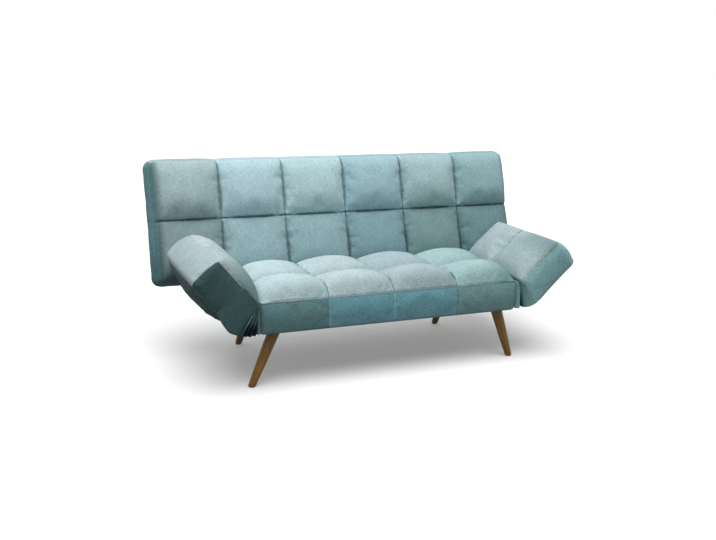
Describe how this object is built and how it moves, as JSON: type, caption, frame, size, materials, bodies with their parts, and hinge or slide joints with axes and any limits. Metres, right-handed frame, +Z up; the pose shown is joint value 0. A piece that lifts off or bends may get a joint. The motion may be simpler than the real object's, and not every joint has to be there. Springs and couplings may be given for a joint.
{
  "type": "click clack sofa bed",
  "caption": "Quilted sofa bed on splayed wooden legs; its back clicks down level with the seat, and its arms tilt down level beside it.",
  "frame": {"origin": "on the floor, under the middle of the overall box", "axes": "+X to the right of someone who looks at the front, +Y to the rear, +Z up"},
  "size_m": [1.8476, 0.8424, 0.8902],
  "materials": {
    "seat_cloth": "matte",
    "back_cloth": "matte",
    "arm_cloth": "matte",
    "gusset_cloth": "matte",
    "base_cloth": "matte",
    "leg_wood": "satin",
    "frame_wood": "matte",
    "steel": "satin",
    "nylon": "matte"
  },
  "bodies": {
    "seat": {"front_left_glide": "nylon", "front_left_leg": "leg_wood", "front_left_leg_plate": "steel", "front_right_glide": "nylon", "front_right_leg": "leg_wood", "front_right_leg_plate": "steel", "left_arm_hinge_rod": "steel", "left_arm_seat_leaf_front": "steel", "left_arm_seat_leaf_rear": "steel", "left_gusset": "gusset_cloth", "left_pivot_bolt": "steel", "left_seat_bracket": "steel", "rear_left_glide": "nylon", "rear_left_leg": "leg_wood", "rear_left_leg_plate": "steel", "rear_right_glide": "nylon", "rear_right_leg": "leg_wood", "rear_right_leg_plate": "steel", "right_arm_hinge_rod": "steel", "right_arm_seat_leaf_front": "steel", "right_arm_seat_leaf_rear": "steel", "right_gusset": "gusset_cloth", "right_pivot_bolt": "steel", "right_seat_bracket": "steel", "seat_base_cloth": "base_cloth", "seat_cushion": "seat_cloth", "seat_front_rail": "frame_wood", "seat_left_rail": "frame_wood", "seat_rear_rail": "frame_wood", "seat_right_rail": "frame_wood", "seat_slat_1": "frame_wood", "seat_slat_2": "frame_wood", "seat_slat_3": "frame_wood", "seat_slat_4": "frame_wood", "seat_slat_5": "frame_wood"},
    "back": {"back_bottom_rail": "frame_wood", "back_cushion": "back_cloth", "back_left_hinge_stile": "frame_wood", "back_left_stile": "frame_wood", "back_left_webbing": "base_cloth", "back_rear_cover": "back_cloth", "back_right_hinge_stile": "frame_wood", "back_right_stile": "frame_wood", "back_right_webbing": "base_cloth", "back_top_rail": "frame_wood", "left_back_bracket": "steel", "left_pawl_pin": "steel", "right_back_bracket": "steel", "right_pawl_pin": "steel"},
    "left_arm": {"left_arm_board": "frame_wood", "left_arm_cushion": "arm_cloth", "left_arm_leaf_front": "steel", "left_arm_leaf_rear": "steel"},
    "right_arm": {"right_arm_board": "frame_wood", "right_arm_cushion": "arm_cloth", "right_arm_leaf_front": "steel", "right_arm_leaf_rear": "steel"},
    "left_pawl": {"left_pawl": "steel"},
    "right_pawl": {"right_pawl": "steel"}
  },
  "joints": [
    {"name": "back_recline", "type": "hinge", "parent": "seat", "child": "back", "pos_m": [0, 0.18739, 0.3825], "axis": [-1, 0, 0], "range_deg": [-5, 74]},
    {"name": "left_arm_tilt", "type": "hinge", "parent": "seat", "child": "left_arm", "pos_m": [-0.613, 0, 0.371], "axis": [0, -1, 0], "range_deg": [-14, 51], "deforming": ["left_gusset"]},
    {"name": "left_pawl_lift", "type": "hinge", "parent": "back", "child": "left_pawl", "pos_m": [-0.5642, 0.2138, 0.42382], "axis": [-1, 0, 0], "range_deg": [0, 14], "stiffness_Nm_per_rad": 0.4, "springref_deg": -20.05},
    {"name": "right_arm_tilt", "type": "hinge", "parent": "seat", "child": "right_arm", "pos_m": [0.613, 0, 0.371], "axis": [0, 1, 0], "range_deg": [-22, 43], "deforming": ["right_gusset"]},
    {"name": "right_pawl_lift", "type": "hinge", "parent": "back", "child": "right_pawl", "pos_m": [0.5642, 0.2138, 0.42382], "axis": [-1, 0, 0], "range_deg": [0, 14], "stiffness_Nm_per_rad": 0.4, "springref_deg": -20.05}
  ]
}
